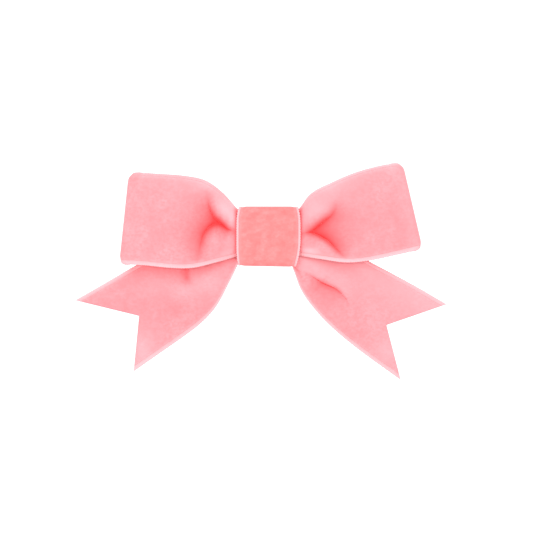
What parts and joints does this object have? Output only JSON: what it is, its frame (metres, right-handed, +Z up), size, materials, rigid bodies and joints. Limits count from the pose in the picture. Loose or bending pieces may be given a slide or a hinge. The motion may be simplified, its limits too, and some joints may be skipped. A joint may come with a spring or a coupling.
{
  "type": "barrette",
  "caption": "Velvet ribbon bow with two loops and fishtail tails on a hinged, spring-catch metal hair clip.",
  "frame": {"origin": "middle of the flat back face of the closed clasp arm, which lies against the head", "axes": "+X to the right seen from the front and along the clip, +Y from the bow towards the head, +Z up as worn"},
  "size_m": [0.0929, 0.02, 0.054],
  "materials": {
    "velvet": "short-pile velvet with a woven edge",
    "wrap_velvet": "short-pile velvet, nap turned across",
    "thread": "polyester thread",
    "glue": "set hot-melt adhesive",
    "nickel_steel": "nickel-plated, lightly brushed",
    "spring_steel": "tempered, nickel-plated"
  },
  "bodies": {
    "bow_and_plate": {"loop_ribbon": "velvet", "tail_ribbon": "velvet", "centre_wrap": "wrap_velvet", "gather_thread": "thread", "glue_pad": "glue", "base_plate": "nickel_steel", "hinge_pin": "nickel_steel", "catch_bracket": "spring_steel", "catch_rivet": "nickel_steel"},
    "arm": {"clasp_arm": "nickel_steel"},
    "bar": {"tension_bar": "spring_steel"},
    "prong_upper": {"catch_prong_upper": "spring_steel"},
    "prong_lower": {"catch_prong_lower": "spring_steel"}
  },
  "joints": [
    {"name": "clasp_open", "type": "hinge", "parent": "bow_and_plate", "child": "arm", "pos_m": [-0.027, -0.0022, 0], "axis": [0, 0, 1], "range_deg": [0, 70]},
    {"name": "bar_lift", "type": "hinge", "parent": "bow_and_plate", "child": "bar", "pos_m": [-0.027, -0.0022, 0], "axis": [0, 0, 1], "range_deg": [0, 10.5]},
    {"name": "squeeze_upper", "type": "hinge", "parent": "bow_and_plate", "child": "prong_upper", "pos_m": [0.0262, -0.00515, 0.00215], "axis": [-1, 0, 0], "range_deg": [0, 8], "stiffness_Nm_per_rad": 0.1},
    {"name": "squeeze_lower", "type": "hinge", "parent": "bow_and_plate", "child": "prong_lower", "pos_m": [0.0262, -0.00515, -0.00215], "axis": [1, 0, 0], "range_deg": [0, 8], "stiffness_Nm_per_rad": 0.1}
  ],
  "couplings": [
    {"joint": "bar_lift", "follows": "clasp_open", "ratio": 0.15}
  ]
}
